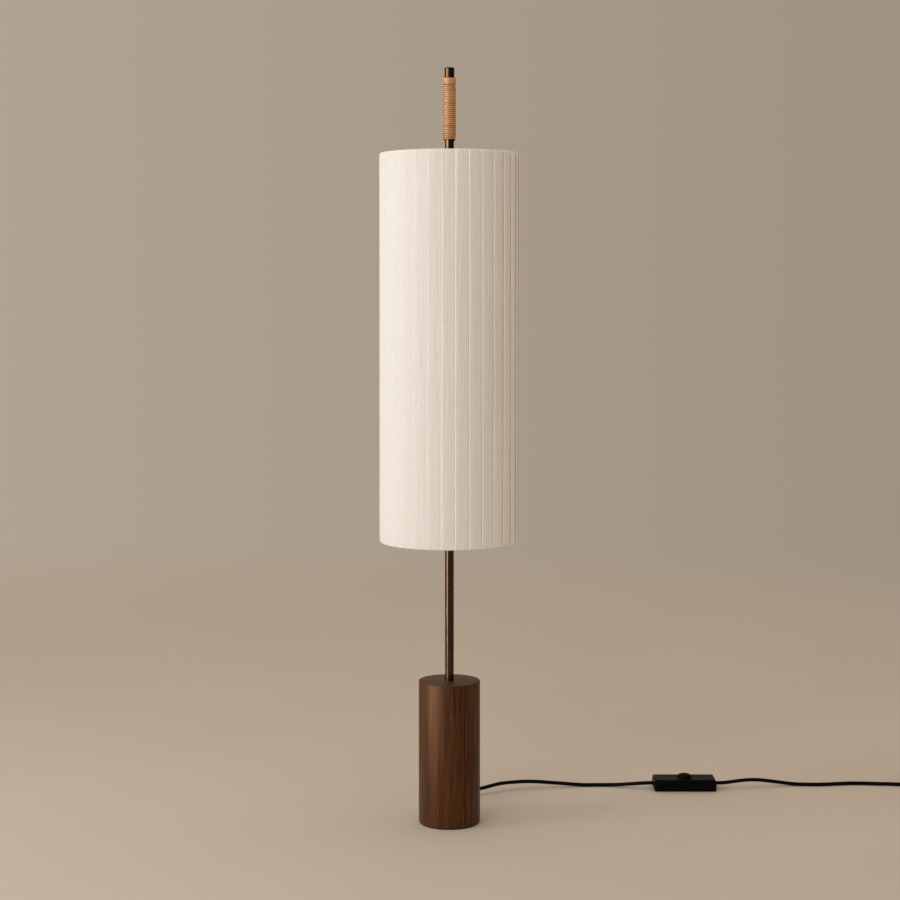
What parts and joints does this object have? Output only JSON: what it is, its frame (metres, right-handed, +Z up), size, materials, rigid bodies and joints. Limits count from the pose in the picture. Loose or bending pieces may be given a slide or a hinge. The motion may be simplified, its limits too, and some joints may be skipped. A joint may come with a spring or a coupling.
{
  "type": "floor lamp",
  "caption": "Floor lamp with a tall pleated drum shade on a slim metal stem, a heavy wood base, a wound carrying grip at the top and a floor switch on its mains lead.",
  "frame": {"origin": "on the lamp's axis, at floor level under the base", "axes": "+Z up the stem, -Y towards the front, +X to the right where the floor switch lies; the lead leaves the base at +Y"},
  "size_m": [1.1387, 0.4985, 1.35],
  "materials": {
    "felt": "pressed felt",
    "iron": "blacked",
    "plated_steel": "zinc plated",
    "dark_wood": "dark stained walnut, oiled",
    "black_rubber": "matt",
    "lead_sheath": "satin",
    "black_plastic": "moulded, satin",
    "white_plastic": "moulded",
    "dark_bronze": "satin dark bronze",
    "grip_cane": "waxed",
    "bulb_metal": "nickel plated",
    "opal_glass": "opal",
    "shade_cloth": "pleated off-white cloth",
    "shade_lining": "matt",
    "white_wire": "white enamel"
  },
  "bodies": {
    "lamp": {"felt_pad": "felt", "base_plate": "iron", "base_screws": "plated_steel", "wood_base": "dark_wood", "ballast": "iron", "stem_washer": "plated_steel", "stem_nut": "plated_steel", "stem_flange_nut": "plated_steel", "cord_relief": "black_rubber", "lead_tail": "lead_sheath", "anchor_block": "black_plastic", "anchor_bridge": "black_plastic", "anchor_screws": "plated_steel", "terminal_block": "white_plastic", "lamp_wires": "white_plastic", "stem_tube": "dark_bronze", "end_cap": "dark_bronze", "grip_wrap": "grip_cane", "grip_band": "grip_cane", "lamp_cluster": "dark_bronze", "cluster_screw": "plated_steel", "upper_holder": "black_plastic", "lower_holder": "black_plastic", "upper_socket": "plated_steel", "lower_socket": "plated_steel", "upper_bulb_cap": "bulb_metal", "lower_bulb_cap": "bulb_metal", "upper_bulb": "opal_glass", "lower_bulb": "opal_glass", "shade_carrier": "dark_bronze", "carrier_screw": "plated_steel", "shade_lock_ring": "dark_bronze", "switch_base": "black_plastic", "switch_cover": "black_plastic", "button_spring": "plated_steel", "switch_contacts": "white_plastic", "switch_clamps": "plated_steel", "clamp_screws": "plated_steel", "switch_screws": "plated_steel", "switch_leads": "lead_sheath", "cord_base_to_switch": "lead_sheath", "cord_switch_to_coil": "lead_sheath", "cord_coil": "lead_sheath", "plug_body": "black_rubber", "plug_pins": "bulb_metal"},
    "shade": {"shade_cover": "shade_cloth", "shade_lining": "shade_lining", "shade_top_ring": "white_wire", "shade_bottom_ring": "white_wire", "shade_ribs": "white_wire", "spider_arms": "white_wire", "spider_hub": "white_wire"},
    "push_button": {"switch_button": "black_plastic"}
  },
  "joints": [
    {"name": "shade_turn", "type": "hinge", "parent": "lamp", "child": "shade", "pos_m": [0, 0, 1.1776], "axis": [0, 0, 1], "continuous": true},
    {"name": "button_press", "type": "slide", "parent": "lamp", "child": "push_button", "axis": [0, 0, -1], "range_m": [0, 0.0025], "stiffness_N_per_m": 1500, "springref_m": -0.002, "deforming": ["button_spring"]}
  ]
}
